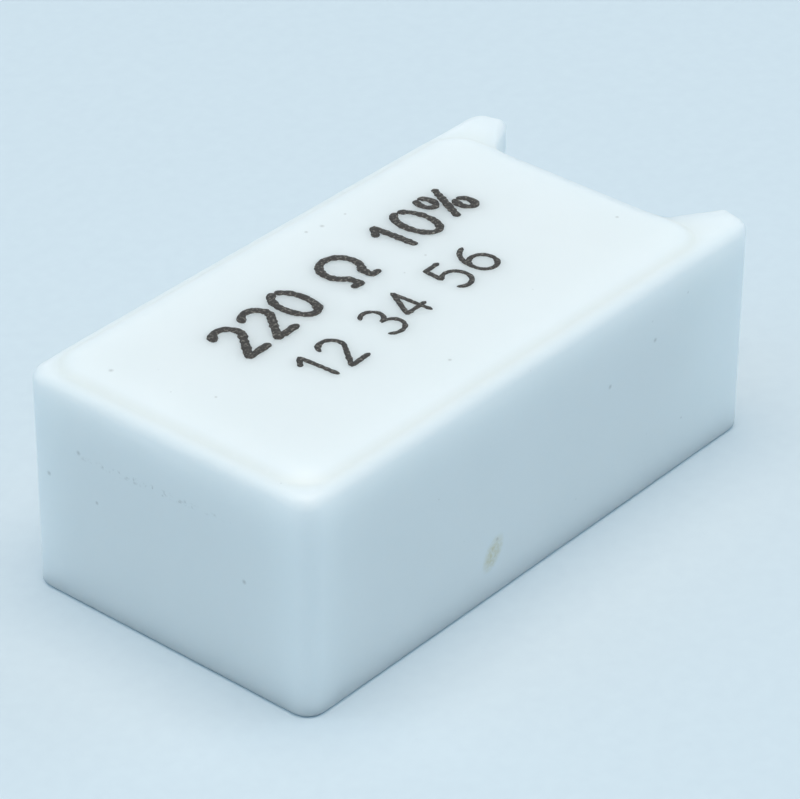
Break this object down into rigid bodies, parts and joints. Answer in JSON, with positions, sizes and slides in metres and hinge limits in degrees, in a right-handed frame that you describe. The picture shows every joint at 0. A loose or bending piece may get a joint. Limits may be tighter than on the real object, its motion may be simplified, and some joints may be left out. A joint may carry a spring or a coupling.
{
  "type": "cement power resistor",
  "caption": "Rectangular white ceramic power resistor filled with cement, with a raised panel on top, seating feet and parallel wire leads at one end for upright board mounting.",
  "frame": {"origin": "centre of the back face of the case, between the closed end and the tips of the feet, on the plane of the back rim", "axes": "+X along the length towards the leads, +Y across the width, +Z through the thickness towards the printed face"},
  "size_m": [0.0283, 0.0132, 0.0092],
  "materials": {
    "case_ceramic": "pressed and fired, satin",
    "cement": "cast and baked, sandy",
    "core_ceramic": "fired rod, matt",
    "resistance_alloy": "drawn wire, oxidised",
    "cap_steel": "drawn and tinned",
    "tinned_copper": "drawn and tinned"
  },
  "bodies": {
    "root": {"ceramic_case": "case_ceramic", "cement_fill": "cement", "core_rod": "core_ceramic", "resistance_wire": "resistance_alloy", "lead_end_cap": "cap_steel", "closed_end_cap": "cap_steel", "short_lead": "tinned_copper", "long_lead": "tinned_copper"}
  },
  "joints": []
}
